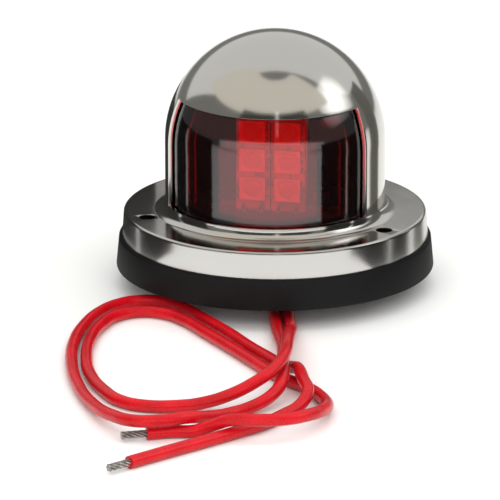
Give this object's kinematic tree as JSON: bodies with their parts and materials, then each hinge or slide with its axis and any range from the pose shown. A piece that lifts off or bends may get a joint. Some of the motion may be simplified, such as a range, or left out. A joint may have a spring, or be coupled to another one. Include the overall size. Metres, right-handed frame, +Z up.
{
  "type": "navigation light",
  "caption": "Port side navigation light: domed stainless hood with a red lens window, thick rubber gasket, LED boards inside and two bare-ended leads.",
  "frame": {"origin": "centre of the gasket's underside, on the deck plane, over the opening for the leads", "axes": "+Z up out of the deck; the window faces -Y; +X is to the right of someone who looks at the window"},
  "size_m": [0.0805, 0.1878, 0.0655],
  "materials": {
    "stainless_steel": "polished",
    "red_polycarbonate": "gloss transparent",
    "seal_rubber": "satin",
    "gasket_rubber": "matte",
    "black_abs": "matte",
    "sealant": "satin",
    "screw_steel": "satin",
    "circuit_board": "satin",
    "component_black": "matte",
    "aluminium": "satin",
    "white_board": "satin",
    "led_package": "satin",
    "gilt_pin": "polished",
    "solder": "polished",
    "resin": "gloss",
    "red_pvc": "satin",
    "tinned_copper": "satin"
  },
  "bodies": {
    "root": {"hood_shell": "stainless_steel", "lens": "red_polycarbonate", "lens_seal": "seal_rubber", "gasket": "gasket_rubber", "base_plate": "black_abs", "sealant_bead": "sealant", "base_screws": "screw_steel", "light_screen": "black_abs", "driver_board": "circuit_board", "capacitor": "component_black", "regulator": "component_black", "diode": "component_black", "resistors": "component_black", "led_bracket": "aluminium", "bracket_screws": "screw_steel", "driver_screw": "screw_steel", "left_led_board": "white_board", "right_led_board": "white_board", "left_leds": "led_package", "right_leds": "led_package", "board_screws": "screw_steel", "link_pins": "gilt_pin", "solder_joints": "solder", "grommet": "seal_rubber", "potting": "resin", "lead_a": "red_pvc", "lead_b": "red_pvc", "lead_a_strands": "tinned_copper", "lead_b_strands": "tinned_copper"}
  },
  "joints": []
}
